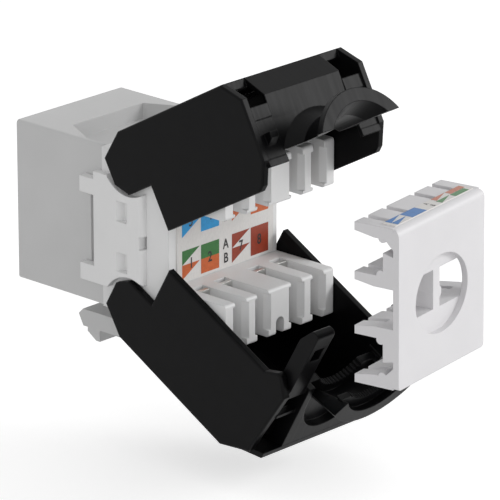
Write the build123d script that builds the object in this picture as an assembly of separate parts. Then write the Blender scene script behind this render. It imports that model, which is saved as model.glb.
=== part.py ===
from build123d import *
import math
import os

# A keystone jack with clamshell doors, shown open, with its wire cap taken off.
# All sizes are in millimetres. X runs across the jack, Y from the port face to the
# cable side, and Z up. The origin is the middle of the port face.

# General clearances
running_gap = 0.1
seat_gap = 0.05

# Front housing
front_width = 14.6
front_height = 16.1
front_depth = 11.6
front_round = 0.35
lug_depth = 5.1
groove_depth = 1.6
groove_strip_front = 2.5
groove_strip_middle = 0.6
groove_strip_rear = 0.4
groove_bend_depth = 3.8
side_recess_depth = 0.3
side_recess_length = 1.3
port_width = 11.9
port_height = 7.0
port_centre_z = 0.4
port_lead = 0.5
key_wide = 6.2
key_wide_depth = 2.0
key_narrow = 3.6
key_narrow_depth = 1.2

# Latch under the front housing
latch_width = 9.0
latch_bar_thickness = 1.75
latch_bar_drop = 2.45
latch_front_y = 5.3
latch_nose = 0.6
latch_leg_thickness = 1.5
latch_heel_chamfer = 1.1
latch_axis_y = 12.1
latch_bead_radius = 0.6
latch_neck_thickness = 0.7
latch_neck_height = 0.35
latch_pad_drop = 1.25
latch_pad_front_y = 10.6
latch_pad_rear_y = 13.0
latch_tooth_start = 1.2
latch_tooth_crest = 2.35
latch_tooth_end = 2.85
latch_tooth_step = 0.4
latch_tooth_depth = 1.15

# Contact insert and its spring wires
contact_count = 8
contact_pitch = 1.016
contact_wire_radius = 0.23
contact_bend_radius = 0.6
contact_nose_y = 2.8
contact_tail_y = 10.0
contact_slope = 14.0
insert_width = 12.4
insert_wall_y = 9.3
insert_wall_height = 8.6
tongue_thickness = 0.8
tongue_front_y = 2.2
comb_slot_width = 0.66
comb_slot_depth = 1.2
comb_slot_low_z = 0.4
comb_slot_high_z = 3.0

# Circuit board
board_width = 13.0
board_margin = 3.4
board_thickness = 1.2

# Rear housing, with the terminal towers
body_side_cover = 0.2
body_top_cover = 0.8
body_front_inset = 0.1
body_front_step = 1.9
body_round = 0.3
body_rear_y = 20.3
tower_height = 4.7
tower_row_width = 15.0
tower_depth = 7.35
tower_widths = [1.35, 1.45, 3.1, 1.45, 1.35]
slot_start = 1.65
tower_round = 0.3
tower_nose = 0.3
tower_nose_length = 0.7
outer_barb_height = 0.7
inner_barb_height = 0.4
tower_notch_width = 1.1
tower_notch_height = 1.7
tower_notch_depth = 2.2

# Clip plates on the sides of the rear housing
plate_thickness = 0.7
plate_front_y = 11.15
plate_rear_y = 17.5
plate_half_height = 5.6
plate_rear_round = 0.5
plate_slot_width = 0.35
plate_slot_sink = 1.2
plate_slot_low_z = -0.95
plate_slot_high_z = 0.35
plate_pivot_radius = 3.4
foot_length = 1.85
upper_foot_low_z = 3.2
upper_foot_high_z = 4.8
lower_foot_low_z = -5.6
lower_foot_high_z = -3.9
window_front_y = 14.15
window_length = 1.4
upper_window_low_z = 1.3
upper_window_high_z = 3.3
lower_window_low_z = -3.7
lower_window_high_z = -1.8
window_depth = 0.7
window_slope = 0.5

# Pivots of the doors
pivot_y = 15.75
pivot_inset = 1.4
pin_radius = 0.95
pin_length = 1.3
pin_gap = 0.05
upper_open_angle = 29.0
lower_open_angle = 29.5

# Doors, measured from the pivot: along is towards the cable, out is away from the middle
ear_thickness = 0.75
ear_over = 3.05
ear_under = 2.85
ear_nose = 2.7
ear_nose_over = 1.75
ear_nose_under = 1.4
ear_heel = 1.95
ear_round = 0.2
rear_chamfer_out = 2.0
upper_chamfer_along = 2.0
lower_chamfer_along = 3.0
lower_chamfer_plate = 0.6
upper_length_beyond = 0.3
lower_length_beyond = 0.9
upper_ear_lean = 0.05
upper_corner_along = 0.2
upper_corner_out = 2.45
upper_bend_along = 1.5
upper_bend_out = 0.4
upper_tip_along = 2.1
lower_ear_lean = 0.1
lower_corner_along = 0.9
lower_corner_out = 0.6
lower_ramp_rear = 0.5
lower_ramp_front = 1.0
lower_ramp_rise = 1.0
lower_ramp_start = 2.35
door_wall = 0.85
door_wall_front = 0.3
door_rib_width = 0.8
door_rib_height = 0.5
door_rib_spacing = 6.0
door_rib_front = 6.5
door_rib_rear = 14.0
panel_width = 10.2
upper_panel_thickness = 0.3
upper_ridge_ahead = 0.4
upper_ridge_lift = 0.15
upper_facet_low = 1.5
catch_top = 0.1
catch_height = 1.3
catch_wall_thickness = 0.35
catch_width = 1.0
catch_nose_height = 1.2
catch_nose_proud = 0.5
low_bar_top = 4.95
low_bar_height = 0.7

# Collar of the upper door around the cable
collar_bore_radius = 4.0
collar_mouth_radius = 4.75
collar_root_radius = 5.9
collar_neck_radius = 4.75
collar_lip_radius = 6.05
collar_neck_ahead = 1.25
collar_neck_length = 2.0
collar_flare_length = 1.5
collar_lip_length = 0.7
collar_cut_z = 2.95

# Lower door's rear panel, cable cradle and lip
lower_panel_back = 0.45
lower_panel_proud = 1.1
lower_ridge_proud = 1.25
lower_panel_top = 7.0
lower_opening_radius = 4.3
lower_opening_margin = 1.7
cradle_centre_z = 1.45
cradle_radius = 3.6
cradle_plate = 0.8
cradle_tooth_radius = 0.16
cradle_tooth_count = 17
cradle_tooth_span = 110.0
spout_reach = 4.75
spout_root_rim_z = 2.0
spout_root_outer_radius = 4.25
spout_root_inner_radius = 3.8
spout_root_outer_drop = 0.2
spout_root_inner_drop = 0.65
spout_lip_outer_radius = 7.2
spout_lip_inner_radius = 4.9
spout_lip_outer_drop = 4.65
spout_lip_inner_drop = 3.65
spout_lip_outer_rim_z = 0.2
spout_lip_inner_rim_z = -1.0
spout_ridge_ahead = 3.3
spout_ridge_thickness = 0.6
spout_ridge_outer_radius = 4.75
spout_ridge_centre_z = 3.0
spout_ridge_top_z = -0.55
spout_ridge_span = 80.0

# Hook straps of the lower door
strap_inset = 1.0
strap_thickness = 1.7
strap_tip_round = 0.4
strap_reach = 14.4
strap_bevel_along = 0.8
strap_bevel_out = 1.8
strap_window_width = 1.3
strap_window_height = 1.5
strap_window_middle = 11.75
strap_root_high = 6.2
strap_root_low = 7.3
strap_bar_middle = 3.9
strap_bar_height = 0.4
strap_bar_back = 1.0

# Terminals
terminal_thickness = 0.4
terminal_pin = 0.5
terminal_height = 3.6
terminal_slit = 0.35
terminal_slit_depth = 2.2
terminal_pin_lift = 1.25
terminal_inset = 0.6

# Labels
label_thickness = 0.12
label_near_border = 1.1
label_far_border = 0.6
cap_label_thickness = 0.1
cap_label_margin = 0.7

# Wire cap
cap_width = 14.5
cap_top_inset = 1.15
cap_depth = 4.75
cap_plate = 0.6
cap_round = 0.8
cap_corner_round = 0.4
cap_hole_half_width = 4.4
cap_hole_half_height = 3.75
cap_hole_drop = 0.35
cap_slot_width = 0.75
cap_finger_length = 2.4
cap_outer_tier = 1.15
cap_inner_tier = 1.1
cap_inner_tier_inset = 1.15
cap_tip_thickness = 0.8
cap_tip_length = 2.1
cap_web_width = 1.1
cap_web_depth = 2.1
cap_wall_depth = 1.1
cap_wall_slope = 0.25
cap_wall_height = 2.25
cap_gusset_depth = 0.9
cap_gusset_height = 0.9
cap_nub_radius = 0.45
cap_nub_lift = 0.1
cap_nub_ahead = 0.25
cap_bump_radius = 0.72
cap_bump_x = -0.15
cap_bump_z = -0.45
cap_pull = 14.95
cap_lift = 0.3
cap_turn = 8.3
cap_tilt = 0.6

# Values worked out from the sizes above
half_front = front_width / 2
top_z = front_height / 2
half_body = half_front + body_side_cover
half_body_height = top_z + body_top_cover
half_body_front = top_z - body_front_inset / 2
half_board = half_body_front - board_margin / 2
body_front_y = front_depth + seat_gap
board_rear_y = body_front_y + board_thickness
tower_end_y = body_rear_y + tower_depth
tower_inner_z = half_body_height - tower_height
slot_width = (tower_row_width - sum(tower_widths)) / (len(tower_widths) - 1)
slot_front_y = body_rear_y + slot_start
terminal_pin_z = tower_inner_z + terminal_pin_lift
pivot_z = half_body_height - pivot_inset
cap_seat_y = tower_end_y + seat_gap
cap_back_y = cap_seat_y + cap_depth
cap_top_z = half_body_height - cap_top_inset
cap_inner_tier_z = tower_inner_z - cap_inner_tier_inset
ear_inner_x = half_body + running_gap
ear_outer_x = ear_inner_x + ear_thickness
ear_inner_edge = seat_gap - pivot_z
ridge_out = ear_over - rear_chamfer_out
wall_inner_out = ear_over - door_wall
half_panel = panel_width / 2
strap_inner_x = half_panel + running_gap
strap_outer_x = ear_inner_x - running_gap
upper_panel_inner = cap_back_y + seat_gap - pivot_y
upper_panel_rear = upper_panel_inner + upper_panel_thickness
upper_panel_ridge = upper_panel_inner + upper_ridge_ahead
upper_length = upper_panel_ridge + upper_length_beyond
collar_neck_start = upper_panel_ridge + collar_neck_ahead
collar_neck_end = collar_neck_start + collar_neck_length
collar_lip_start = collar_neck_end + collar_flare_length
collar_end = collar_lip_start + collar_lip_length
lower_length = upper_length + lower_length_beyond
upper_wall_end = upper_length - upper_chamfer_along
lower_wall_end = lower_length - lower_chamfer_along
lower_panel_inner = lower_length - lower_panel_back
lower_panel_rear = lower_length + lower_panel_proud
lower_panel_ridge = lower_length + lower_ridge_proud
strap_front = lower_length - strap_inset
strap_rear = strap_front + strap_thickness
port_top_z = port_centre_z + port_height / 2
wire_z = port_top_z + seat_gap + contact_wire_radius
tongue_low_z = wire_z + contact_wire_radius + running_gap
insert_top_z = tongue_low_z + tongue_thickness
chamber_top_z = insert_top_z + seat_gap
insert_low_z = insert_top_z - insert_wall_height
latch_axis_z = -top_z - latch_pad_drop + latch_bead_radius


def tower_spans():
    """The X range of each tower, from the near side to the far side."""
    spans = []
    x = tower_row_width / 2
    for width in tower_widths:
        spans.append((x - width, x))
        x = x - width - slot_width
    return spans


def slot_centres():
    """The X of the middle of each slot between two towers."""
    spans = tower_spans()
    return [(spans[i][0] + spans[i + 1][1]) / 2 for i in range(len(spans) - 1)]


def block(x0, x1, y0, y1, z0, z1):
    """A box between two corners."""
    size = Box(x1 - x0, y1 - y0, z1 - z0)
    return Pos((x0 + x1) / 2, (y0 + y1) / 2, (z0 + z1) / 2) * size


def prism_x(points, x0, x1):
    """An outline of (y, z) points, extruded from x0 to x1."""
    face = Face(Wire.make_polygon([(x0, y, z) for y, z in points]))
    return Solid.extrude(face, Vector(x1 - x0, 0, 0))


def prism_z(points, z0, z1):
    """An outline of (x, y) points, extruded from z0 to z1."""
    face = Face(Wire.make_polygon([(x, y, z0) for x, y in points]))
    return Solid.extrude(face, Vector(0, 0, z1 - z0))


def rod_x(radius, x0, x1, y, z):
    """A round rod along X."""
    rod = Cylinder(radius, x1 - x0, rotation=(0, 90, 0))
    return Pos((x0 + x1) / 2, y, z) * rod


def rod_y(radius, y0, y1, x, z):
    """A round rod along Y."""
    rod = Cylinder(radius, y1 - y0, rotation=(90, 0, 0))
    return Pos(x, (y0 + y1) / 2, z) * rod


def both_sides(shape):
    """A shape and its mirror image across the middle plane."""
    return [shape, mirror(shape, about=Plane.YZ)]


def one_solid(shape):
    """The single solid that a boolean result holds."""
    return shape.solids()[0]


def front_housing():
    """The housing that faces the wall plate, with the plug port and the fixed lug."""
    body = block(-half_front, half_front, 0, front_depth, -top_z, top_z)
    body = fillet(body.edges().filter_by(Axis.Y), front_round)
    half_port = port_width / 2
    port_low_z = port_top_z - port_height
    key_low_z = port_low_z - key_wide_depth
    body -= block(-half_port, half_port, 0, front_depth, port_low_z, port_top_z)
    body -= block(-key_wide / 2, key_wide / 2, 0, front_depth, key_low_z, port_low_z)
    narrow_low_z = key_low_z - key_narrow_depth
    body -= block(-key_narrow / 2, key_narrow / 2, 0, front_depth, narrow_low_z, key_low_z)
    lead = [(0, port_top_z + port_lead), (0, port_top_z), (port_lead, port_top_z)]
    body -= prism_x(lead, -half_port, half_port)
    chamber_front_y = tongue_front_y - seat_gap
    body -= block(-half_port, half_port, chamber_front_y, front_depth, port_top_z, chamber_top_z)
    pocket_half = insert_width / 2 + seat_gap
    pocket_y = insert_wall_y - seat_gap
    body -= block(-pocket_half, pocket_half, pocket_y, front_depth, insert_low_z - seat_gap, chamber_top_z)
    body -= top_groove()
    for recess in both_sides(side_recess()):
        body -= recess
    return one_solid(body + latch_pad())


def top_groove():
    """The groove behind the fixed lug, narrower at its front end."""
    front_x = half_front - groove_strip_front
    middle_x = half_front - groove_strip_middle
    rear_x = half_front - groove_strip_rear
    bend_y = lug_depth + groove_bend_depth
    near = [(front_x, lug_depth), (middle_x, bend_y), (rear_x, front_depth)]
    far = [(-x, y) for x, y in reversed(near)]
    return prism_z(near + far, top_z - groove_depth, top_z)


def side_recess():
    """The shallow channel between the two feet of a clip plate."""
    x0 = half_front - side_recess_depth
    y1 = plate_front_y + running_gap
    return block(x0, half_front, y1 - side_recess_length, y1, lower_foot_high_z, upper_foot_low_z)


def latch_pad():
    """The pad under the housing that holds the latch at its rear."""
    half = latch_width / 2
    low = -top_z - latch_pad_drop
    pad = block(-half, half, latch_pad_front_y, latch_pad_rear_y, low, -top_z)
    socket_radius = latch_bead_radius + seat_gap
    pad -= rod_x(socket_radius, -half, half, latch_axis_y, latch_axis_z)
    mouth_front_y = latch_axis_y - socket_radius
    mouth_rear_y = latch_axis_y + socket_radius
    return pad - block(-half, half, mouth_front_y, mouth_rear_y, low, latch_axis_z)


def latch_arm():
    """The springy latch bar, with its tooth, neck and bead."""
    bar_top = -top_z - latch_bar_drop
    bar_low = bar_top - latch_bar_thickness
    leg_front = latch_axis_y - latch_leg_thickness / 2
    leg_rear = latch_axis_y + latch_leg_thickness / 2
    leg_top = -top_z - latch_pad_drop - latch_neck_height
    tooth_front = latch_front_y + latch_tooth_start
    tooth_crest = latch_front_y + latch_tooth_crest
    tooth_rear = latch_front_y + latch_tooth_end
    outline = [
        (leg_front, leg_top),
        (leg_front, bar_top),
        (latch_front_y + latch_nose, bar_top),
        (latch_front_y, bar_top - latch_nose),
        (latch_front_y + latch_nose, bar_low),
        (tooth_front, bar_low),
        (tooth_front, bar_low - latch_tooth_step),
        (tooth_crest, bar_low - latch_tooth_depth),
        (tooth_rear, bar_low - latch_tooth_depth),
        (tooth_rear, bar_low),
        (leg_rear - latch_heel_chamfer, bar_low),
        (leg_rear, bar_low + latch_heel_chamfer),
        (leg_rear, leg_top),
    ]
    half = latch_width / 2
    arm = prism_x(outline, -half, half)
    half_neck = latch_neck_thickness / 2
    neck_front = latch_axis_y - half_neck
    neck_rear = latch_axis_y + half_neck
    neck = block(-half, half, neck_front, neck_rear, leg_top, latch_axis_z)
    return one_solid(arm + neck + rod_x(latch_bead_radius, -half, half, latch_axis_y, latch_axis_z))


def contact_xs():
    """The X of each spring contact wire."""
    middle = (contact_count - 1) / 2
    return [(middle - i) * contact_pitch for i in range(contact_count)]


def contact_block():
    """The insert that carries the spring wires, with its tongue and comb slots."""
    half_wall = insert_width / 2
    half_tongue = port_width / 2 - seat_gap
    body = block(-half_wall, half_wall, insert_wall_y, front_depth, insert_low_z, insert_top_z)
    body += block(-half_tongue, half_tongue, tongue_front_y, insert_wall_y, tongue_low_z, insert_top_z)
    for x in contact_xs():
        hole_radius = contact_wire_radius + seat_gap
        body -= rod_y(hole_radius, insert_wall_y, front_depth, x, wire_z)
        x0 = x - comb_slot_width / 2
        x1 = x + comb_slot_width / 2
        slot_rear_y = insert_wall_y + comb_slot_depth
        body -= block(x0, x1, insert_wall_y, slot_rear_y, comb_slot_low_z, comb_slot_high_z)
    return one_solid(body)


def contact_wire(x):
    """One spring wire, from the board forward, round the nose and back down."""
    slope = math.radians(contact_slope)
    middle = math.radians(180 - contact_slope / 2)
    centre_z = wire_z - contact_bend_radius
    start = Vector(x, board_rear_y, wire_z)
    nose = Vector(x, contact_nose_y, wire_z)
    front_y = contact_nose_y + contact_bend_radius * math.cos(middle)
    front = Vector(x, front_y, centre_z + contact_bend_radius * math.sin(middle))
    bend_y = contact_nose_y - contact_bend_radius * math.sin(slope)
    bend_z = centre_z - contact_bend_radius * math.cos(slope)
    tail_z = bend_z - (contact_tail_y - bend_y) * math.tan(slope)
    bend = Vector(x, bend_y, bend_z)
    tail = Vector(x, contact_tail_y, tail_z)
    round_the_nose = Edge.make_three_point_arc(nose, front, bend)
    path = Wire([Edge.make_line(start, nose), round_the_nose, Edge.make_line(bend, tail)])
    section = Plane(origin=start, z_dir=(0, -1, 0)) * Circle(contact_wire_radius)
    return one_solid(sweep(section, path=path))


def terminal_places():
    """The X of the slot and the side, 1 above or -1 below, of each terminal."""
    return [(x, side) for side in (1, -1) for x in slot_centres()]


def circuit_board():
    """The small board that joins the spring wires to the terminals."""
    half_width = board_width / 2
    body = block(-half_width, half_width, body_front_y, board_rear_y, -half_board, half_board)
    for x in contact_xs():
        body -= rod_y(contact_wire_radius + seat_gap, body_front_y, board_rear_y, x, wire_z)
    for x, side in terminal_places():
        body -= pin_hole(x, side, body_front_y, board_rear_y)
    return one_solid(body)


def pin_hole(x, side, y0, y1):
    """The square hole for the pin of one terminal."""
    half = terminal_pin / 2 + seat_gap
    z = side * terminal_pin_z
    return block(x - half, x + half, y0, y1, z - half, z + half)


def idc_terminal(x, side):
    """One slotted terminal blade with its square pin."""
    half_width = slot_width / 2 - seat_gap
    low = tower_inner_z + running_gap
    high = low + terminal_height
    y0 = slot_front_y + terminal_inset
    y1 = y0 + terminal_thickness
    blade = block(-half_width, half_width, y0, y1, low, high)
    half_slit = terminal_slit / 2
    blade -= block(-half_slit, half_slit, y0, y1, high - terminal_slit_depth, high)
    half_pin = terminal_pin / 2
    pin_front_y = body_front_y + seat_gap
    pin = block(-half_pin, half_pin, pin_front_y, y0, terminal_pin_z - half_pin, terminal_pin_z + half_pin)
    shape = Pos(x, 0, 0) * one_solid(blade + pin)
    if side < 0:
        shape = mirror(shape, about=Plane.XY)
    return one_solid(shape)


def tower_row():
    """The upper row of towers behind the rear housing, with the slots between them."""
    half_row = tower_row_width / 2
    row = block(-half_row, half_row, body_rear_y, slot_front_y, tower_inner_z, half_body_height)
    for x0, x1 in tower_spans():
        tower = block(x0, x1, slot_front_y, tower_end_y, tower_inner_z, half_body_height)
        ends = tower.edges().filter_by(Axis.X).group_by(Axis.Y)[-1]
        row += fillet(ends, tower_round)
    for x in slot_centres():
        row -= tower_lead(x)
    return row


def tower_lead(x):
    """The wedge cut from the ends of the two towers beside one slot, between their barbs."""
    half = slot_width / 2
    y0 = tower_end_y - tower_nose_length
    wide = half + tower_nose
    outline = [(x - half, y0), (x + half, y0), (x + wide, tower_end_y), (x - wide, tower_end_y)]
    return prism_z(outline, tower_inner_z + inner_barb_height, half_body_height - outer_barb_height)


def tower_notch():
    """The arched notch at the outer side of a middle tower's end."""
    half = tower_notch_width / 2
    y0 = tower_end_y - tower_notch_depth
    arch_z = half_body_height - tower_notch_height + half
    notch = block(-half, half, y0, tower_end_y, arch_z, half_body_height)
    return notch + rod_y(half, y0, tower_end_y, 0, arch_z)


def clip_plate():
    """The plate on the near side that laps over the front housing, with its feet and windows."""
    lap_x = half_front + seat_gap
    outer_x = half_body + plate_thickness
    plate = block(lap_x, outer_x, plate_front_y, plate_rear_y, -plate_half_height, plate_half_height)
    corners = plate.edges().filter_by(Axis.Z).group_by(Axis.Y)[-1].group_by(Axis.X)[-1]
    plate = fillet(corners, plate_rear_round)
    foot_y = plate_front_y - foot_length
    plate += block(lap_x, outer_x, foot_y, plate_front_y, upper_foot_low_z, upper_foot_high_z)
    plate += block(lap_x, outer_x, foot_y, plate_front_y, lower_foot_low_z, lower_foot_high_z)
    plate -= plate_window(upper_window_low_z, upper_window_high_z)
    plate -= plate_window(lower_window_low_z, lower_window_high_z)
    for z in (pivot_z, -pivot_z):
        plate -= rod_x(plate_pivot_radius, lap_x, outer_x, pivot_y, z)
    return plate


def plate_slot():
    """The deep narrow slot at the rear edge of the near clip plate."""
    inner_x = half_body - plate_slot_sink
    outer_x = half_body + plate_thickness
    front_y = plate_rear_y - plate_slot_width
    return block(inner_x, outer_x, front_y, plate_rear_y, plate_slot_low_z, plate_slot_high_z)


def plate_window(low, high):
    """A window in the clip plate with a sloped far wall."""
    outer_x = half_body + plate_thickness
    inner_x = outer_x - window_depth
    y1 = window_front_y + window_length
    slope_y = window_front_y + window_slope
    outline = [(outer_x, window_front_y), (outer_x, y1), (inner_x, y1), (inner_x, slope_y)]
    return prism_z(outline, low, high)


def idc_block():
    """The rear housing with its two rows of towers and both clip plates."""
    step_y = body_front_y + body_front_step
    body = block(-half_body, half_body, step_y, body_rear_y, -half_body_height, half_body_height)
    body = fillet(body.edges().filter_by(Axis.Y), body_round)
    body += block(-half_body, half_body, body_front_y, step_y, -half_body_front, half_body_front)
    row = tower_row()
    body += row
    body += mirror(row - tower_notch(), about=Plane.XY)
    for plate in both_sides(clip_plate()):
        body += plate
    for slot in both_sides(plate_slot()):
        body -= slot
    pocket_half = board_width / 2 + seat_gap
    pocket_high = half_board + seat_gap
    pocket_y = board_rear_y + seat_gap
    body -= block(-pocket_half, pocket_half, body_front_y, pocket_y, -pocket_high, pocket_high)
    for x, side in terminal_places():
        body -= pin_hole(x, side, pocket_y, slot_front_y)
    pin_end_x = half_body - pin_length
    for z in (pivot_z, -pivot_z):
        for hole in both_sides(rod_x(pin_radius + pin_gap, pin_end_x, half_body, pivot_y, z)):
            body -= hole
    return one_solid(body)


def wiring_label():
    """The colour-code label between the two rows of towers."""
    near_x = half_body - label_near_border
    far_x = label_far_border - half_body
    half_height = tower_inner_z - running_gap
    return block(far_x, near_x, body_rear_y, body_rear_y + label_thickness, -half_height, half_height)


def door_block(x0, x1, a0, a1, o0, o1):
    """A box in the closed upper door, along and out from the pivot."""
    return block(x0, x1, pivot_y + a0, pivot_y + a1, pivot_z + o0, pivot_z + o1)


def door_prism(points, x0, x1):
    """An outline of (along, out) points in the closed upper door, from x0 to x1."""
    return prism_x([(pivot_y + a, pivot_z + o) for a, o in points], x0, x1)


def door_ear(wall_end, rear_edge):
    """The side plate of a door, with its pivot pin. The rear edge comes as (along, out) points."""
    outline = [
        (door_wall_front, ear_over),
        (-ear_nose, ear_over - ear_nose_over),
        (-ear_nose, ear_nose_under - ear_under),
        (-ear_nose_under, -ear_under),
        (ear_heel, -ear_under),
        (ear_heel, ear_inner_edge),
    ]
    outline += rear_edge
    outline.append((wall_end, ear_over))
    ear = door_prism(outline, ear_inner_x, ear_outer_x)
    outer_edges = ear.faces().sort_by(Axis.X)[-1].edges()
    ear = fillet(outer_edges, ear_round)
    pin_end_x = half_body - pin_length + seat_gap
    pin = rod_x(pin_radius, pin_end_x, ear_inner_x, pivot_y, pivot_z)
    return ear + pin


def upper_ear_edge():
    """The rear edge of the upper door's ears, from the inner edge outwards."""
    return [
        (upper_length - upper_tip_along, ear_inner_edge),
        (upper_length - upper_bend_along, ear_inner_edge + upper_bend_out),
        (upper_length - upper_corner_along, ear_inner_edge + upper_corner_out),
        (upper_length - upper_ear_lean, ridge_out),
    ]


def lower_ear_edge():
    """The rear edge of the lower door's ears, with the ramp that leads up to the strap."""
    ramp_out = ear_inner_edge - lower_ramp_rise
    return [
        (lower_length - lower_ramp_start, ear_inner_edge),
        (lower_length - lower_ramp_front, ramp_out),
        (lower_length - lower_ramp_rear, ramp_out),
        (lower_length + lower_corner_along, ear_inner_edge + lower_corner_out),
        (lower_length + lower_ear_lean, ridge_out),
    ]


def door_shell(wall_end, rear_edge):
    """The two ears of a door, its outer wall and the ribs inside that wall."""
    shell = door_block(-ear_inner_x, ear_inner_x, door_wall_front, wall_end, wall_inner_out, ear_over)
    for ear in both_sides(door_ear(wall_end, rear_edge)):
        shell += ear
    rib_low = wall_inner_out - door_rib_height
    for x in (-door_rib_spacing / 2, door_rib_spacing / 2):
        x0 = x - door_rib_width / 2
        x1 = x + door_rib_width / 2
        shell += door_block(x0, x1, door_rib_front, door_rib_rear, rib_low, wall_inner_out)
    return shell


def upper_rear():
    """The upper door's rear panel, open at both sides, with its catch bars and catches."""
    panel_low = collar_cut_z - pivot_z
    panel_high = ridge_out - upper_ridge_lift
    outline = [
        (upper_panel_inner, panel_low),
        (upper_panel_rear, panel_low),
        (upper_panel_rear, -upper_facet_low),
        (upper_panel_ridge, panel_high),
        (upper_wall_end, ear_over),
        (upper_wall_end, wall_inner_out),
        (upper_panel_inner, panel_high),
    ]
    rear = door_prism(outline, -half_panel, half_panel)
    bar_low = catch_top - catch_height
    bar_place = (half_panel, ear_inner_x, upper_panel_inner, upper_panel_ridge)
    bar = door_block(*bar_place, bar_low, catch_top)
    low_bar_high = -low_bar_top
    low_bar_low = low_bar_high - low_bar_height
    low_bar = door_block(*bar_place, low_bar_low, low_bar_high)
    back_along = upper_panel_inner + catch_wall_thickness
    back = door_block(half_panel, ear_inner_x, upper_panel_inner, back_along, low_bar_high, bar_low)
    catch_middle = strap_window_middle - 2 * pivot_z
    catch_high = catch_middle + catch_nose_height / 2
    catch_low = catch_middle - catch_nose_height / 2
    nose_along = strap_front + catch_nose_proud
    nose = [
        (back_along, catch_high),
        (nose_along, catch_high),
        (nose_along, catch_middle),
        (back_along, catch_low),
    ]
    middle_x = (strap_inner_x + strap_outer_x) / 2
    catch = door_prism(nose, middle_x - catch_width / 2, middle_x + catch_width / 2)
    for piece in both_sides(bar + low_bar + back + catch):
        rear += piece
    return rear


def collar():
    """The upper half of the trumpet-shaped collar around the cable."""
    profile = [
        (upper_panel_inner, collar_bore_radius),
        (collar_neck_end, collar_bore_radius),
        (collar_end, collar_mouth_radius),
        (collar_end, collar_lip_radius),
        (collar_lip_start, collar_lip_radius),
        (collar_neck_end, collar_neck_radius),
        (collar_neck_start, collar_neck_radius),
        (upper_panel_rear, collar_root_radius),
        (upper_panel_inner, collar_root_radius),
    ]
    points = [(0, pivot_y + a, r) for a, r in profile]
    tube = revolve(Face(Wire.make_polygon(points)), axis=Axis.Y)
    reach = collar_lip_radius
    keep = block(-reach, reach, pivot_y, pivot_y + collar_end, collar_cut_z, reach)
    return tube & keep


def opened(door, angle):
    """A door turned open about its pivot."""
    return Pos(0, pivot_y, pivot_z) * Rot(angle, 0, 0) * Pos(0, -pivot_y, -pivot_z) * door


def upper_door():
    """The upper clamshell door, opened."""
    door = door_shell(upper_wall_end, upper_ear_edge()) + upper_rear()
    bore = rod_y(collar_bore_radius, pivot_y + upper_panel_inner, pivot_y + upper_panel_ridge, 0, 0)
    door = door - bore + collar()
    return one_solid(opened(one_solid(door), upper_open_angle))


def lower_rear():
    """The lower door's rear panel and chamfer, with the rounded opening for the trough."""
    outline = [
        (lower_panel_inner, -lower_panel_top),
        (lower_panel_rear, -lower_panel_top),
        (lower_panel_ridge, ridge_out),
        (lower_wall_end, ear_over),
        (lower_wall_end, wall_inner_out),
        (lower_panel_inner, ridge_out - door_wall / 2),
    ]
    rear = door_prism(outline, -half_panel, half_panel)
    chamfer_plate = [
        (lower_wall_end, ear_over),
        (lower_wall_end, wall_inner_out),
        (lower_panel_ridge, ridge_out - lower_chamfer_plate),
        (lower_panel_ridge, ridge_out),
    ]
    rear += door_prism(chamfer_plate, -ear_inner_x, ear_inner_x)
    y0 = pivot_y + lower_panel_inner + cradle_plate
    y1 = pivot_y + lower_panel_ridge
    centre_z = pivot_z + ridge_out - lower_opening_margin - lower_opening_radius
    rear -= rod_y(lower_opening_radius, y0, y1, 0, centre_z)
    rear -= block(-lower_opening_radius, lower_opening_radius, y0, y1, 0, centre_z)
    y0 = pivot_y + lower_panel_inner
    y1 = y0 + cradle_plate
    rear -= rod_y(cradle_radius, y0, y1, 0, -cradle_centre_z)
    for rod in teeth(-cradle_centre_z, y0, y1, cradle_tooth_span):
        rear += rod
    return rear


def arc_x(radius, centre_z, z):
    """The X where a circle about the middle plane crosses a height."""
    return math.sqrt(radius ** 2 - (centre_z - z) ** 2)


def trough_face(y, outer, inner):
    """A crescent section of the lower door's spout, in the closed upper door's place.

    Each arc comes as its radius, how far its centre lies below the middle, and its rim's z.
    """
    outer_radius, outer_drop, outer_rim_z = outer
    inner_radius, inner_drop, inner_rim_z = inner
    outer_x = arc_x(outer_radius, -outer_drop, outer_rim_z)
    inner_x = arc_x(inner_radius, -inner_drop, inner_rim_z)
    outer_top = Vector(0, y, outer_radius - outer_drop)
    inner_top = Vector(0, y, inner_radius - inner_drop)
    outer_near = Vector(outer_x, y, outer_rim_z)
    outer_far = Vector(-outer_x, y, outer_rim_z)
    inner_near = Vector(inner_x, y, inner_rim_z)
    inner_far = Vector(-inner_x, y, inner_rim_z)
    edges = [
        Edge.make_three_point_arc(outer_near, outer_top, outer_far),
        Edge.make_line(outer_far, inner_far),
        Edge.make_three_point_arc(inner_far, inner_top, inner_near),
        Edge.make_line(inner_near, outer_near),
    ]
    return Face(Wire(edges))


def spout():
    """The trough that carries the cable out of the lower door, wider at its lip."""
    root_y = pivot_y + lower_panel_inner + cradle_plate / 2
    lip_y = pivot_y + lower_length + spout_reach
    root_outer = (spout_root_outer_radius, spout_root_outer_drop, spout_root_rim_z)
    root_inner = (spout_root_inner_radius, spout_root_inner_drop, spout_root_rim_z)
    lip_outer = (spout_lip_outer_radius, spout_lip_outer_drop, spout_lip_outer_rim_z)
    lip_inner = (spout_lip_inner_radius, spout_lip_inner_drop, spout_lip_inner_rim_z)
    root = trough_face(root_y, root_outer, root_inner)
    lip = trough_face(lip_y, lip_outer, lip_inner)
    return Solid.make_loft([root.outer_wire(), lip.outer_wire()], ruled=True)


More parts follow.
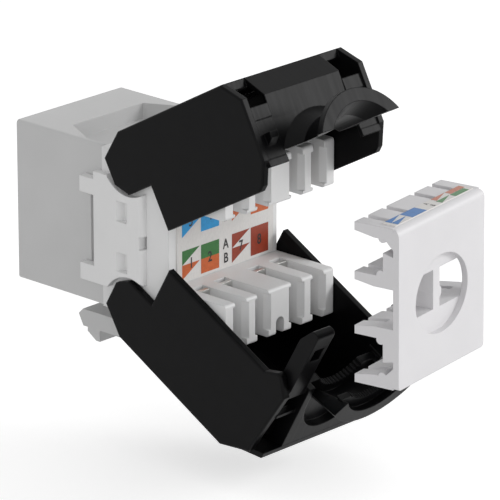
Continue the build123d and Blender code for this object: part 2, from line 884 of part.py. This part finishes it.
def spout_ridge():
    """The toothed ridge inside the spout, near its lip."""
    y0 = pivot_y + lower_length + spout_ridge_ahead
    y1 = y0 + spout_ridge_thickness
    ring = rod_y(spout_ridge_outer_radius, y0, y1, 0, -spout_ridge_centre_z)
    ring -= rod_y(cradle_radius, y0, y1, 0, -spout_ridge_centre_z)
    reach = spout_ridge_outer_radius
    ridge = ring & block(-reach, reach, y0, y1, spout_ridge_top_z, reach)
    for rod in teeth(-spout_ridge_centre_z, y0, y1, spout_ridge_span):
        ridge += rod
    return ridge


def teeth(centre_z, y0, y1, span):
    """A row of fine round teeth along an arc that grips the cable's jacket."""
    step = math.radians(span) / (cradle_tooth_count - 1)
    rods = []
    for i in range(cradle_tooth_count):
        angle = (i - (cradle_tooth_count - 1) / 2) * step
        x = cradle_radius * math.sin(angle)
        z = centre_z + cradle_radius * math.cos(angle)
        rods.append(rod_y(cradle_tooth_radius, y0, y1, x, z))
    return rods


def strap():
    """The near hook strap of the lower door, with the window that takes a catch."""
    outline = [
        (strap_front, -strap_root_high),
        (strap_front, strap_bevel_out - strap_reach),
        (strap_front + strap_bevel_along, -strap_reach),
        (strap_rear, -strap_reach),
        (strap_rear, -strap_root_high),
    ]
    bar = door_prism(outline, strap_inner_x, strap_outer_x)
    bar = fillet(bar.edges().filter_by(Axis.X).group_by(Axis.Z)[0], strap_tip_round)
    middle_x = (strap_inner_x + strap_outer_x) / 2
    x0 = middle_x - strap_window_width / 2
    x1 = middle_x + strap_window_width / 2
    o0 = -strap_window_middle - strap_window_height / 2
    o1 = -strap_window_middle + strap_window_height / 2
    bar -= door_block(x0, x1, strap_front, strap_rear, o0, o1)
    bar += door_block(half_panel, ear_inner_x, strap_front, strap_rear, -strap_root_low, -strap_root_high)
    bar_high = strap_bar_height / 2 - strap_bar_middle
    bar_low = bar_high - strap_bar_height
    bar_front = strap_front + strap_bar_back
    return bar + door_block(half_panel, ear_inner_x, bar_front, strap_rear, bar_low, bar_high)


def lower_door():
    """The lower clamshell door, opened."""
    door = door_shell(lower_wall_end, lower_ear_edge()) + lower_rear()
    for piece in both_sides(strap()):
        door += piece
    door += spout()
    door += spout_ridge()
    door = opened(one_solid(door), lower_open_angle)
    return one_solid(mirror(door, about=Plane.XY))


def cap_tier(inner_z, outer_z, tip_inner_z, tip_outer_z):
    """One row of the wire cap's fingers before the slots are cut, thinner at its tip."""
    plate_y = cap_back_y - cap_plate
    tip_y = cap_seat_y + cap_tip_length
    outline = [
        (plate_y, inner_z),
        (tip_y, inner_z),
        (cap_seat_y, tip_inner_z),
        (cap_seat_y, tip_outer_z),
        (plate_y, outer_z),
    ]
    return prism_x(outline, -cap_width / 2, cap_width / 2)


def cap_gusset(outer_low):
    """The slanted root under one outer row of fingers, with a rounded rib before it."""
    plate_y = cap_back_y - cap_plate
    front_y = plate_y - cap_gusset_depth
    half_width = cap_width / 2
    root_low = outer_low - cap_gusset_height
    outline = [(plate_y, outer_low), (front_y, outer_low), (plate_y, root_low)]
    gusset = prism_x(outline, -half_width, half_width)
    nub_y = front_y - cap_nub_ahead
    return gusset + rod_x(cap_nub_radius, -half_width, half_width, nub_y, outer_low + cap_nub_lift)


def cap_wall():
    """The wall on one inner row of fingers, with a rounded rib before it."""
    plate_y = cap_back_y - cap_plate
    front_y = plate_y - cap_wall_depth
    half_width = cap_width / 2
    high = cap_inner_tier_z + cap_wall_height
    outline = [
        (front_y, cap_inner_tier_z),
        (front_y, high),
        (plate_y, high - cap_wall_slope),
        (plate_y, cap_inner_tier_z),
    ]
    wall = prism_x(outline, -half_width, half_width)
    nub_y = front_y - cap_nub_ahead
    return wall + rod_x(cap_nub_radius, -half_width, half_width, nub_y, cap_inner_tier_z + cap_nub_lift)


def wire_cap_seated():
    """The wire cap in its place on the towers, between the closed doors."""
    half_width = cap_width / 2
    plate_y = cap_back_y - cap_plate
    plate = block(-half_width, half_width, plate_y, cap_back_y, -cap_top_z, cap_top_z)
    plate = fillet(plate.edges().filter_by(Axis.Y), cap_corner_round)
    outer_low = cap_top_z - cap_outer_tier
    inner_low = cap_inner_tier_z - cap_inner_tier
    tiers = cap_tier(outer_low, cap_top_z, cap_top_z - cap_tip_thickness, cap_top_z) + cap_gusset(outer_low)
    tiers += cap_tier(inner_low, cap_inner_tier_z, cap_inner_tier_z - cap_tip_thickness, cap_inner_tier_z)
    tiers += cap_wall()
    for x in slot_centres():
        x0 = x - cap_slot_width / 2
        x1 = x + cap_slot_width / 2
        tiers -= block(x0, x1, cap_seat_y, cap_seat_y + cap_finger_length, 0, cap_top_z)
    cap = plate + tiers + mirror(tiers, about=Plane.XY)
    round_y = cap_back_y - cap_round
    round_z = cap_top_z - cap_round
    corner = block(-half_width, half_width, round_y, cap_back_y, round_z, cap_top_z)
    cap -= corner - rod_x(cap_round, -half_width, half_width, round_y, round_z)
    hole = extrude(Plane.XZ * Ellipse(cap_hole_half_width, cap_hole_half_height), cap_plate)
    cap -= Pos(0, cap_back_y, -cap_hole_drop) * hole
    half_web = cap_web_width / 2
    web_y = plate_y - cap_web_depth
    cap += block(-half_web, half_web, web_y, plate_y, -inner_low, inner_low)
    cap += rod_y(cap_bump_radius, web_y, plate_y, cap_bump_x, cap_bump_z)
    return one_solid(cap)


def cap_label_seated():
    """The narrow colour label on the top of the wire cap."""
    half_width = cap_width / 2 - cap_label_margin
    y0 = cap_seat_y + cap_finger_length + running_gap
    y1 = cap_back_y - cap_round
    return block(-half_width, half_width, y0, y1, cap_top_z, cap_top_z + cap_label_thickness)


def taken_off(shape):
    """A piece of the wire cap, drawn off towards the cable, lifted and turned a little."""
    middle_y = cap_seat_y + cap_depth / 2
    tilted = Rot(cap_tilt, 0, 0) * Pos(0, -middle_y, 0) * shape
    return one_solid(Pos(0, middle_y + cap_pull, cap_lift) * Rot(0, 0, cap_turn) * tilted)


pieces = {
    "front_housing": front_housing(),
    "latch_arm": latch_arm(),
    "contact_block": contact_block(),
    "circuit_board": circuit_board(),
    "idc_block": idc_block(),
    "wiring_label": wiring_label(),
    "wire_cap": taken_off(wire_cap_seated()),
    "cap_label": taken_off(cap_label_seated()),
    "upper_door": upper_door(),
    "lower_door": lower_door(),
}
for number, x in enumerate(contact_xs(), start=1):
    pieces[f"contact_wire_{number}"] = contact_wire(x)
for number, place in enumerate(terminal_places(), start=1):
    pieces[f"idc_terminal_{number}"] = idc_terminal(*place)

os.makedirs("parts", exist_ok=True)
for name, piece in pieces.items():
    export_step(piece, f"parts/{name}.step")
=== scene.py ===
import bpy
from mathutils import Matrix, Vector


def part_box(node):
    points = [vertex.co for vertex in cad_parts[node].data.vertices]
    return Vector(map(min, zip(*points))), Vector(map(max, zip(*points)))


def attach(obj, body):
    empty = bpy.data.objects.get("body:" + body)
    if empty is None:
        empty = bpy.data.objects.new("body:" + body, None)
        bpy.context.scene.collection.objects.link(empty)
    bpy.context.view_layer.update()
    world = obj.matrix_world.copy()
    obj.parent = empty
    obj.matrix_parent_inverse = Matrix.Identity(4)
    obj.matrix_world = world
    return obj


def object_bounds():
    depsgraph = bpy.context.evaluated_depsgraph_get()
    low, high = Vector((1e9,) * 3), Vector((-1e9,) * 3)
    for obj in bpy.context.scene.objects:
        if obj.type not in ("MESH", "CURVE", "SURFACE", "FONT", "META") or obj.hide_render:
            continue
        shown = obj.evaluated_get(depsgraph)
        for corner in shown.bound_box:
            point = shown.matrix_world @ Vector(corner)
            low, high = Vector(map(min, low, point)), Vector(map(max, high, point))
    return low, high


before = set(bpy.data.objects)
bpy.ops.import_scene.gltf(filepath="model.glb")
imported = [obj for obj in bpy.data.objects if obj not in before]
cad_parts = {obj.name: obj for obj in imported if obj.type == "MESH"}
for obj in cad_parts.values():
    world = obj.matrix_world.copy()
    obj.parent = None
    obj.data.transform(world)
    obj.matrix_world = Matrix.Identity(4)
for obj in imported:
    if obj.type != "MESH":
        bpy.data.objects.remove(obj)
cad_box = [list(corner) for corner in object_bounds()]

import math

import bpy
from mathutils import Matrix, Vector

MM = 0.001

# Camera, as fitted to the photograph
AZIMUTH = 132.95
ELEVATION = 19.25
DISTANCE = 445.7 * MM
AIM = Vector((0, 23.8, -1.4)) * MM
LENS = 339.8
SENSOR = 36.0
CLIP_START = 0.01
CLIP_END = 20

# Light, as a share of full brightness on a white face
WORLD_LIGHT = 0.47
FLOOR_GLOW = 0.5
FLOOR_SIZE = 4.0
# From the lowest point at rest, so that the lower door clears the floor at its widest swing
FLOOR_DROP = 4.4 * MM
FLOOR_GREY = (0.9, 0.9, 0.9)

# Lamps: direction from the middle, distance and width in metres, share of full brightness
LAMPS = {
    "key": ((-0.69, 0.61, 0.37), 0.5, 0.2, 0.42),
    "rear": ((0.15, 0.95, 0.25), 0.5, 0.4, 0.12),
    "fill": ((0.95, 0.2, 0.25), 0.6, 0.5, 0.13),
    "top": ((0.1, 0.1, 1.0), 0.6, 0.5, 0.03),
}

# Colours, linear
# The housing and the block are one white plastic in two tones: the housing's darker white is
# painted shade, the block's lighter white is painted light
JACK_WHITE_PAINTED_SHADE = (0.63, 0.63, 0.63)
BLOCK_WHITE_PAINTED_LIGHT = (0.845, 0.845, 0.845)
CAP_WHITE = (0.745, 0.735, 0.75)
INSERT_WHITE = (0.62, 0.62, 0.63)
PAPER = (0.78, 0.76, 0.74)
BLACK = (0.0022, 0.0022, 0.0025)
BOARD_GREEN = (0.02, 0.12, 0.05)
GOLD = (0.83, 0.6, 0.25)
TIN = (0.72, 0.72, 0.7)
INK = {
    "green": (0.03, 0.17, 0.035),
    "orange": (0.6, 0.12, 0.022),
    "brown": (0.3, 0.036, 0.01),
    "blue": (0.01, 0.33, 0.72),
    "black": (0.02, 0.018, 0.018),
}
CAP_INK = {
    "green": (0.08, 0.23, 0.09),
    "orange": (0.55, 0.2, 0.13),
    "blue": (0.055, 0.2, 0.5),
    "black": (0.09, 0.08, 0.08),
}


# Materials: texture features per metre, and the depths of relief
FLOW_SCALE = 160.0
GRAIN_SCALE = 9000.0
GRAIN_DEPTH = 0.02 * MM
WEAR_SCALE = 700.0
STREAK_SCALE = 2600.0
STREAK_STRETCH = (1.0, 0.06, 0.06)
STREAK_DEPTH = 0.015 * MM
BLACK_SPECULAR = 0.085
BLACK_ROUGHNESS = (0.28, 0.42)
BLACK_EDGE = 0.14 * MM
DRAWING_SCALE = 4000.0
DRAWING_STRETCH = (1.0, 0.15, 1.0)
METAL_EDGE = 0.04 * MM
FIBRE_SCALE = 5200.0
FIBRE_STRETCH = (1.0, 1.0, 0.5)
PAPER_ROUGHNESS = 0.5
MOTTLE_SCALE = 3200.0
INK_ROUGHNESS = 0.42
WEAVE_SCALE = 1500.0
BOARD_EDGE = 0.05 * MM
BOARD_ROUGHNESS = 0.35
FINE_DEPTH = 0.01 * MM
BEVEL_SAMPLES = 6


def new_material(name):
    """A material with only a Principled shader, its node tree and that shader."""
    material = bpy.data.materials.new(name)
    material.use_nodes = True
    tree = material.node_tree
    shader = tree.nodes["Principled BSDF"]
    return material, tree, shader


def noise(tree, scale, detail=2.0, stretch=None):
    """A noise texture in the object's own coordinates, with features per metre."""
    coords = tree.nodes.new("ShaderNodeTexCoord")
    source = coords.outputs["Object"]
    if stretch:
        mapping = tree.nodes.new("ShaderNodeMapping")
        mapping.inputs["Scale"].default_value = stretch
        tree.links.new(source, mapping.inputs["Vector"])
        source = mapping.outputs["Vector"]
    texture = tree.nodes.new("ShaderNodeTexNoise")
    texture.inputs["Scale"].default_value = scale
    texture.inputs["Detail"].default_value = detail
    tree.links.new(source, texture.inputs["Vector"])
    return texture.outputs["Fac"]


def ramp(tree, value, low, high, low_colour, high_colour):
    """A colour ramp between two colours over a part of a value's range."""
    node = tree.nodes.new("ShaderNodeValToRGB")
    node.color_ramp.elements[0].position = low
    node.color_ramp.elements[1].position = high
    node.color_ramp.elements[0].color = (*low_colour, 1)
    node.color_ramp.elements[1].color = (*high_colour, 1)
    tree.links.new(value, node.inputs["Fac"])
    return node.outputs["Color"]


def shade(colour, factor):
    """A colour made lighter or darker."""
    return tuple(min(1.0, channel * factor) for channel in colour)


def rough_range(tree, value, low, high):
    """A value mapped to a range of roughness."""
    node = tree.nodes.new("ShaderNodeMapRange")
    node.inputs["To Min"].default_value = low
    node.inputs["To Max"].default_value = high
    tree.links.new(value, node.inputs["Value"])
    return node.outputs["Result"]


def bumped(tree, shader, value, strength, depth, edge=0.0):
    """Surface relief from a value, over edges rounded by a small radius."""
    bump = tree.nodes.new("ShaderNodeBump")
    bump.inputs["Strength"].default_value = strength
    bump.inputs["Distance"].default_value = depth
    tree.links.new(value, bump.inputs["Height"])
    if edge:
        bevel = tree.nodes.new("ShaderNodeBevel")
        bevel.samples = BEVEL_SAMPLES
        bevel.inputs["Radius"].default_value = edge
        tree.links.new(bevel.outputs["Normal"], bump.inputs["Normal"])
    tree.links.new(bump.outputs["Normal"], shader.inputs["Normal"])


def moulded(name, colour, rough_low, rough_high, grain, edge, specular=0.5):
    """Moulded plastic with a fine grain, faint flow shades and softened edges."""
    material, tree, shader = new_material(name)
    shade_noise = noise(tree, FLOW_SCALE, 3.0)
    base = ramp(tree, shade_noise, 0.3, 0.75, shade(colour, 0.965), shade(colour, 1.02))
    tree.links.new(base, shader.inputs["Base Color"])
    fine = noise(tree, GRAIN_SCALE, 2.0)
    tree.links.new(rough_range(tree, fine, rough_low, rough_high), shader.inputs["Roughness"])
    shader.inputs["Specular IOR Level"].default_value = specular
    bumped(tree, shader, fine, grain, GRAIN_DEPTH, edge)
    return material


def black_moulded():
    """Black plastic with a fine satin grain, drag streaks and a faint pale wear."""
    material, tree, shader = new_material("door_black")
    wear = noise(tree, WEAR_SCALE, 4.0)
    base = ramp(tree, wear, 0.35, 0.85, BLACK, shade(BLACK, 1.5))
    tree.links.new(base, shader.inputs["Base Color"])
    streak = noise(tree, STREAK_SCALE, 2.0, STREAK_STRETCH)
    tree.links.new(rough_range(tree, streak, *BLACK_ROUGHNESS), shader.inputs["Roughness"])
    shader.inputs["Specular IOR Level"].default_value = BLACK_SPECULAR
    bumped(tree, shader, streak, 0.35, STREAK_DEPTH, BLACK_EDGE)
    return material


def metal(name, colour, rough_low, rough_high):
    """Plated metal with fine drawing marks."""
    material, tree, shader = new_material(name)
    marks = noise(tree, DRAWING_SCALE, 3.0, DRAWING_STRETCH)
    base = ramp(tree, marks, 0.3, 0.8, shade(colour, 0.9), colour)
    tree.links.new(base, shader.inputs["Base Color"])
    tree.links.new(rough_range(tree, marks, rough_low, rough_high), shader.inputs["Roughness"])
    shader.inputs["Metallic"].default_value = 1.0
    bumped(tree, shader, marks, 0.15, FINE_DEPTH, METAL_EDGE)
    return material


def paper(name, colour):
    """Coated label paper with faint fibres."""
    material, tree, shader = new_material(name)
    fibres = noise(tree, FIBRE_SCALE, 4.0, FIBRE_STRETCH)
    base = ramp(tree, fibres, 0.3, 0.75, shade(colour, 0.95), shade(colour, 1.03))
    tree.links.new(base, shader.inputs["Base Color"])
    shader.inputs["Roughness"].default_value = PAPER_ROUGHNESS
    bumped(tree, shader, fibres, 0.1, FINE_DEPTH)
    return material


def ink(name, colour):
    """Printed ink, slightly uneven."""
    material, tree, shader = new_material(name)
    mottle = noise(tree, MOTTLE_SCALE, 4.0)
    base = ramp(tree, mottle, 0.25, 0.8, shade(colour, 0.88), shade(colour, 1.1))
    tree.links.new(base, shader.inputs["Base Color"])
    shader.inputs["Roughness"].default_value = INK_ROUGHNESS
    bumped(tree, shader, mottle, 0.05, FINE_DEPTH)
    return material


def board():
    """Green solder mask with a faint weave below it."""
    material, tree, shader = new_material("board_green")
    weave = noise(tree, WEAVE_SCALE, 2.0)
    base = ramp(tree, weave, 0.35, 0.7, shade(BOARD_GREEN, 0.8), shade(BOARD_GREEN, 1.2))
    tree.links.new(base, shader.inputs["Base Color"])
    shader.inputs["Roughness"].default_value = BOARD_ROUGHNESS
    bumped(tree, shader, weave, 0.1, GRAIN_DEPTH, BOARD_EDGE)
    return material


def dress(names, material):
    """Gives the material to every slot of the named CAD nodes."""
    for name in names:
        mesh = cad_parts[name].data
        mesh.materials.clear()
        mesh.materials.append(material)


# Housing and block share one white plastic in a shaded and a lit tone: painted shade on the
# housing, painted light on the block
dress(["front_housing", "latch_arm"], moulded("jack_white_painted_shade", JACK_WHITE_PAINTED_SHADE, 0.38, 0.5, 0.2, 0.12 * MM))
dress(["idc_block"], moulded("block_white_painted_light", BLOCK_WHITE_PAINTED_LIGHT, 0.36, 0.48, 0.15, 0.12 * MM))
dress(["wire_cap"], moulded("cap_white", CAP_WHITE, 0.36, 0.48, 0.15, 0.1 * MM))
dress(["contact_block"], moulded("insert_white", INSERT_WHITE, 0.4, 0.55, 0.2, 0.08 * MM))
dress(["upper_door", "lower_door"], black_moulded())
dress(["circuit_board"], board())
dress(["wiring_label", "cap_label"], paper("label_paper", PAPER))
contact_names = [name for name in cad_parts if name.startswith("contact_wire")]
dress(contact_names, metal("gold_plate", GOLD, 0.18, 0.3))
terminal_names = [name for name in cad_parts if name.startswith("idc_terminal")]
dress(terminal_names, metal("tin_plate", TIN, 0.25, 0.4))


# Printing on the labels
PRINT_LIFT = 0.012 * MM
GLYPH_WEIGHT = 0.018
GLYPH_NARROW = 0.8


def add_mesh(name, points, faces, material, body):
    """A mesh object that rides on a body."""
    mesh = bpy.data.meshes.new(name)
    mesh.from_pydata([tuple(p) for p in points], [], faces)
    mesh.materials.append(material)
    mesh.update()
    piece = bpy.data.objects.new(name, mesh)
    bpy.context.scene.collection.objects.link(piece)
    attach(piece, body)
    return piece


def printed(name, shapes, place, material, body):
    """Flat printed shapes, each an outline of (u, v) points in millimetres on a label."""
    points = []
    faces = []
    for outline in shapes:
        first = len(points)
        points += [place(u, v) for u, v in outline]
        faces.append(tuple(range(first, len(points))))
    return add_mesh(name, points, faces, material, body)


def glyph(text, height):
    """The flat mesh of one printed character, centred, of a height in millimetres."""
    curve = bpy.data.curves.new("glyph_" + text, "FONT")
    curve.body = text
    curve.size = 1.0
    curve.offset = GLYPH_WEIGHT
    curve.align_x = "CENTER"
    curve.align_y = "CENTER"
    holder = bpy.data.objects.new("glyph_" + text, curve)
    bpy.context.scene.collection.objects.link(holder)
    bpy.context.view_layer.update()
    mesh = bpy.data.meshes.new_from_object(holder)
    bpy.data.objects.remove(holder)
    ys = [v.co.y for v in mesh.vertices]
    xs = [v.co.x for v in mesh.vertices]
    tall = max(ys) - min(ys)
    middle = Vector(((max(xs) + min(xs)) / 2, (max(ys) + min(ys)) / 2, 0))
    factor = height / tall
    for vertex in mesh.vertices:
        vertex.co = (vertex.co - middle) * factor
    return mesh


def lettering(name, marks, place, material, body):
    """Printed characters in one mesh, each as (text, u, v, height) in millimetres."""
    points = []
    faces = []
    for text, u, v, height in marks:
        mesh = glyph(text, height)
        first = len(points)
        points += [place(u + p.co.x * GLYPH_NARROW, v + p.co.y) for p in mesh.vertices]
        faces += [tuple(first + i for i in face.vertices) for face in mesh.polygons]
        bpy.data.meshes.remove(mesh)
    return add_mesh(name, points, faces, material, body)


label_face_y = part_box("wiring_label")[1][1]


def on_label(u, v):
    """A point printed on the wiring label; u runs to the reader's right, from the middle."""
    return Vector((-u * MM, label_face_y + PRINT_LIFT, v * MM))


def cell(left, right, low, high):
    """A full printed field."""
    return [(left, low), (right, low), (right, high), (left, high)]


def half_cell(left, right, low, high):
    """The upper left half of a field that is cut from corner to corner."""
    return [(left, low), (right, high), (left, high)]


# Fields in millimetres: columns to the reader's right, rows up
COLUMNS = [(-5.75, -3.33), (-3.17, -0.67), (1.1, 3.58), (3.72, 6.18)]
LOWER_ROWS = [(-3.78, -2.33), (-2.33, -0.9)]
UPPER_ROWS = [(0.43, 1.87), (1.87, 3.3)]


def fields(column, row, whole):
    """One printed field of a column and row."""
    left, right = COLUMNS[column]
    return cell(left, right, *row) if whole else half_cell(left, right, *row)


label_ink = {name: ink("label_" + name, colour) for name, colour in INK.items()}
label_shapes = {
    "green": [fields(0, LOWER_ROWS[1], False), fields(1, LOWER_ROWS[1], True),
              fields(2, UPPER_ROWS[1], False), fields(3, UPPER_ROWS[1], True)],
    "orange": [fields(0, LOWER_ROWS[0], False), fields(1, LOWER_ROWS[0], True),
               fields(2, UPPER_ROWS[0], False), fields(3, UPPER_ROWS[0], True)],
    "brown": [fields(2, LOWER_ROWS[0], False), fields(2, LOWER_ROWS[1], False),
              fields(3, LOWER_ROWS[0], True), fields(3, LOWER_ROWS[1], True)],
    "blue": [fields(0, UPPER_ROWS[0], False), fields(0, UPPER_ROWS[1], False),
             fields(1, UPPER_ROWS[0], True), fields(1, UPPER_ROWS[1], True)],
}
for colour_name, shapes in label_shapes.items():
    printed("print_" + colour_name, shapes, on_label, label_ink[colour_name], "jack")

DIGIT = 1.06
LETTER = 1.0
label_marks = [
    ("1", -4.5, -2.3, DIGIT), ("2", -1.94, -2.32, DIGIT),
    ("7", 2.37, -2.32, DIGIT), ("8", 4.9, -2.3, DIGIT),
    ("5", -4.55, 1.85, DIGIT), ("4", -1.94, 1.85, DIGIT),
    ("3", 2.37, 1.85, DIGIT), ("6", 4.9, 1.85, DIGIT),
    ("A", 0.24, -1.6, LETTER), ("B", 0.29, -3.02, LETTER),
    ("A", 0.24, 2.6, LETTER), ("B", 0.29, 1.15, LETTER),
]


def raised(place):
    """The same place, a little above the fields."""
    return lambda u, v: place(u, v) + Vector((0, PRINT_LIFT, 0))


lettering("print_marks", label_marks, raised(on_label), label_ink["black"], "jack")

# The cap's sticker, in the cap's own turned frame
CAP_TURN = math.radians(8.3)
CAP_TILT = math.radians(0.6)
STICKER_THICKNESS = 0.1 * MM
cap_low, cap_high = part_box("cap_label")
sticker_middle = (Vector(cap_low) + Vector(cap_high)) / 2
CAP_FRAME = Matrix.Rotation(CAP_TURN, 3, "Z") @ Matrix.Rotation(CAP_TILT, 3, "X")


def on_sticker(u, v):
    """A point printed on the sticker: u to the reader's right, v towards the front."""
    height = STICKER_THICKNESS / 2 + PRINT_LIFT
    return sticker_middle + CAP_FRAME @ Vector((-u * MM, -v * MM, height))


# Fields of the sticker in millimetres: to the reader's right, and towards the front
cap_ink = {name: ink("sticker_" + name, colour) for name, colour in CAP_INK.items()}
NEAR_EDGE = -6.1
BLUE_EDGE = -1.25
FRONT_EDGE = 0.7
REAR_EDGE = -0.7
MIDDLE_ROW = 0.02
ORANGE_LEFT, ORANGE_MIDDLE, ORANGE_RIGHT = 1.5, 3.9, 6.3
GREEN_LEFT, GREEN_MIDDLE, GREEN_RIGHT = 1.3, 3.6, 5.9
STICKER_LETTER = 0.52
blue_left = (NEAR_EDGE + BLUE_EDGE) / 2
sticker_shapes = {
    "blue": [cell(blue_left, BLUE_EDGE, REAR_EDGE, FRONT_EDGE),
             half_cell(NEAR_EDGE, blue_left, REAR_EDGE, 0),
             half_cell(NEAR_EDGE, blue_left, 0, FRONT_EDGE)],
    "orange": [half_cell(ORANGE_LEFT, ORANGE_MIDDLE, MIDDLE_ROW, FRONT_EDGE),
               cell(ORANGE_MIDDLE, ORANGE_RIGHT, MIDDLE_ROW, FRONT_EDGE)],
    "green": [half_cell(GREEN_LEFT, GREEN_MIDDLE, REAR_EDGE, -MIDDLE_ROW),
              cell(GREEN_MIDDLE, GREEN_RIGHT, REAR_EDGE, -MIDDLE_ROW)],
}
for colour_name, shapes in sticker_shapes.items():
    printed("sticker_" + colour_name, shapes, on_sticker, cap_ink[colour_name], "jack")
sticker_marks = [("A", 0.2, 0.36, STICKER_LETTER), ("B", 0.25, -0.36, STICKER_LETTER)]
lettering("sticker_marks", sticker_marks, on_sticker, cap_ink["black"], "jack")


# Floor, light and camera

def floor_material():
    """A pale floor that keeps shadows and shows nearly white to the camera."""
    material = bpy.data.materials.new("floor_pale")
    material.use_nodes = True
    tree = material.node_tree
    tree.nodes.clear()
    output = tree.nodes.new("ShaderNodeOutputMaterial")
    matte = tree.nodes.new("ShaderNodeBsdfDiffuse")
    matte.inputs["Color"].default_value = (*FLOOR_GREY, 1)
    glow = tree.nodes.new("ShaderNodeEmission")
    glow.inputs["Strength"].default_value = FLOOR_GLOW
    both = tree.nodes.new("ShaderNodeAddShader")
    tree.links.new(matte.outputs[0], both.inputs[0])
    tree.links.new(glow.outputs[0], both.inputs[1])
    mix = tree.nodes.new("ShaderNodeMixShader")
    tree.links.new(seen_rays(tree), mix.inputs["Fac"])
    tree.links.new(matte.outputs[0], mix.inputs[1])
    tree.links.new(both.outputs[0], mix.inputs[2])
    tree.links.new(mix.outputs[0], output.inputs["Surface"])
    return material


def seen_rays(tree):
    """One for camera, glossy and transmission rays, else zero."""
    path = tree.nodes.new("ShaderNodeLightPath")
    total = path.outputs["Is Camera Ray"]
    for name in ("Is Glossy Ray", "Is Transmission Ray"):
        largest = tree.nodes.new("ShaderNodeMath")
        largest.operation = "MAXIMUM"
        tree.links.new(total, largest.inputs[0])
        tree.links.new(path.outputs[name], largest.inputs[1])
        total = largest.outputs[0]
    return total


def make_floor(height):
    """The floor, under the lowest point that the lower door swings to."""
    half = FLOOR_SIZE / 2
    mesh = bpy.data.meshes.new("floor")
    corners = [(-half, -half), (half, -half), (half, half), (-half, half)]
    mesh.from_pydata([(x, y, height) for x, y in corners], [], [(0, 1, 2, 3)])
    mesh.materials.append(floor_material())
    floor = bpy.data.objects.new("floor", mesh)
    bpy.context.scene.collection.objects.link(floor)


def make_world():
    """A plain white surround, dimmer as a light than it looks."""
    world = bpy.data.worlds.new("surround")
    bpy.context.scene.world = world
    world.use_nodes = True
    tree = world.node_tree
    background = tree.nodes["Background"]
    background.inputs["Color"].default_value = (1, 1, 1, 1)
    strength = tree.nodes.new("ShaderNodeMapRange")
    strength.inputs["To Min"].default_value = WORLD_LIGHT
    strength.inputs["To Max"].default_value = 1.0
    tree.links.new(seen_rays(tree), strength.inputs["Value"])
    tree.links.new(strength.outputs["Result"], background.inputs["Strength"])


def lamp(name, direction, distance, size, share):
    """A soft square lamp that adds a share of full brightness to a white face turned to it."""
    light = bpy.data.lights.new(name, "AREA")
    light.shape = "SQUARE"
    light.size = size
    light.energy = share * math.pi * math.pi * distance ** 2
    holder = bpy.data.objects.new(name, light)
    towards = Vector(direction).normalized()
    holder.location = AIM + towards * distance
    holder.rotation_euler = towards.to_track_quat("Z", "Y").to_euler()
    bpy.context.scene.collection.objects.link(holder)


def make_camera():
    """The camera at the photograph's viewing angle."""
    data = bpy.data.cameras.new("camera")
    data.lens = LENS
    data.sensor_width = SENSOR
    data.clip_start = CLIP_START
    data.clip_end = CLIP_END
    camera = bpy.data.objects.new("camera", data)
    azimuth = math.radians(AZIMUTH)
    elevation = math.radians(ELEVATION)
    level = math.cos(elevation)
    back = Vector((math.sin(azimuth) * level, -math.cos(azimuth) * level, math.sin(elevation)))
    camera.location = AIM + back * DISTANCE
    camera.rotation_euler = back.to_track_quat("Z", "Y").to_euler()
    bpy.context.scene.collection.objects.link(camera)
    bpy.context.scene.camera = camera


make_floor(cad_box[0][2] - FLOOR_DROP)
make_world()
for lamp_name, placing in LAMPS.items():
    lamp(lamp_name, *placing)
make_camera()
bpy.context.scene.view_settings.view_transform = "Standard"
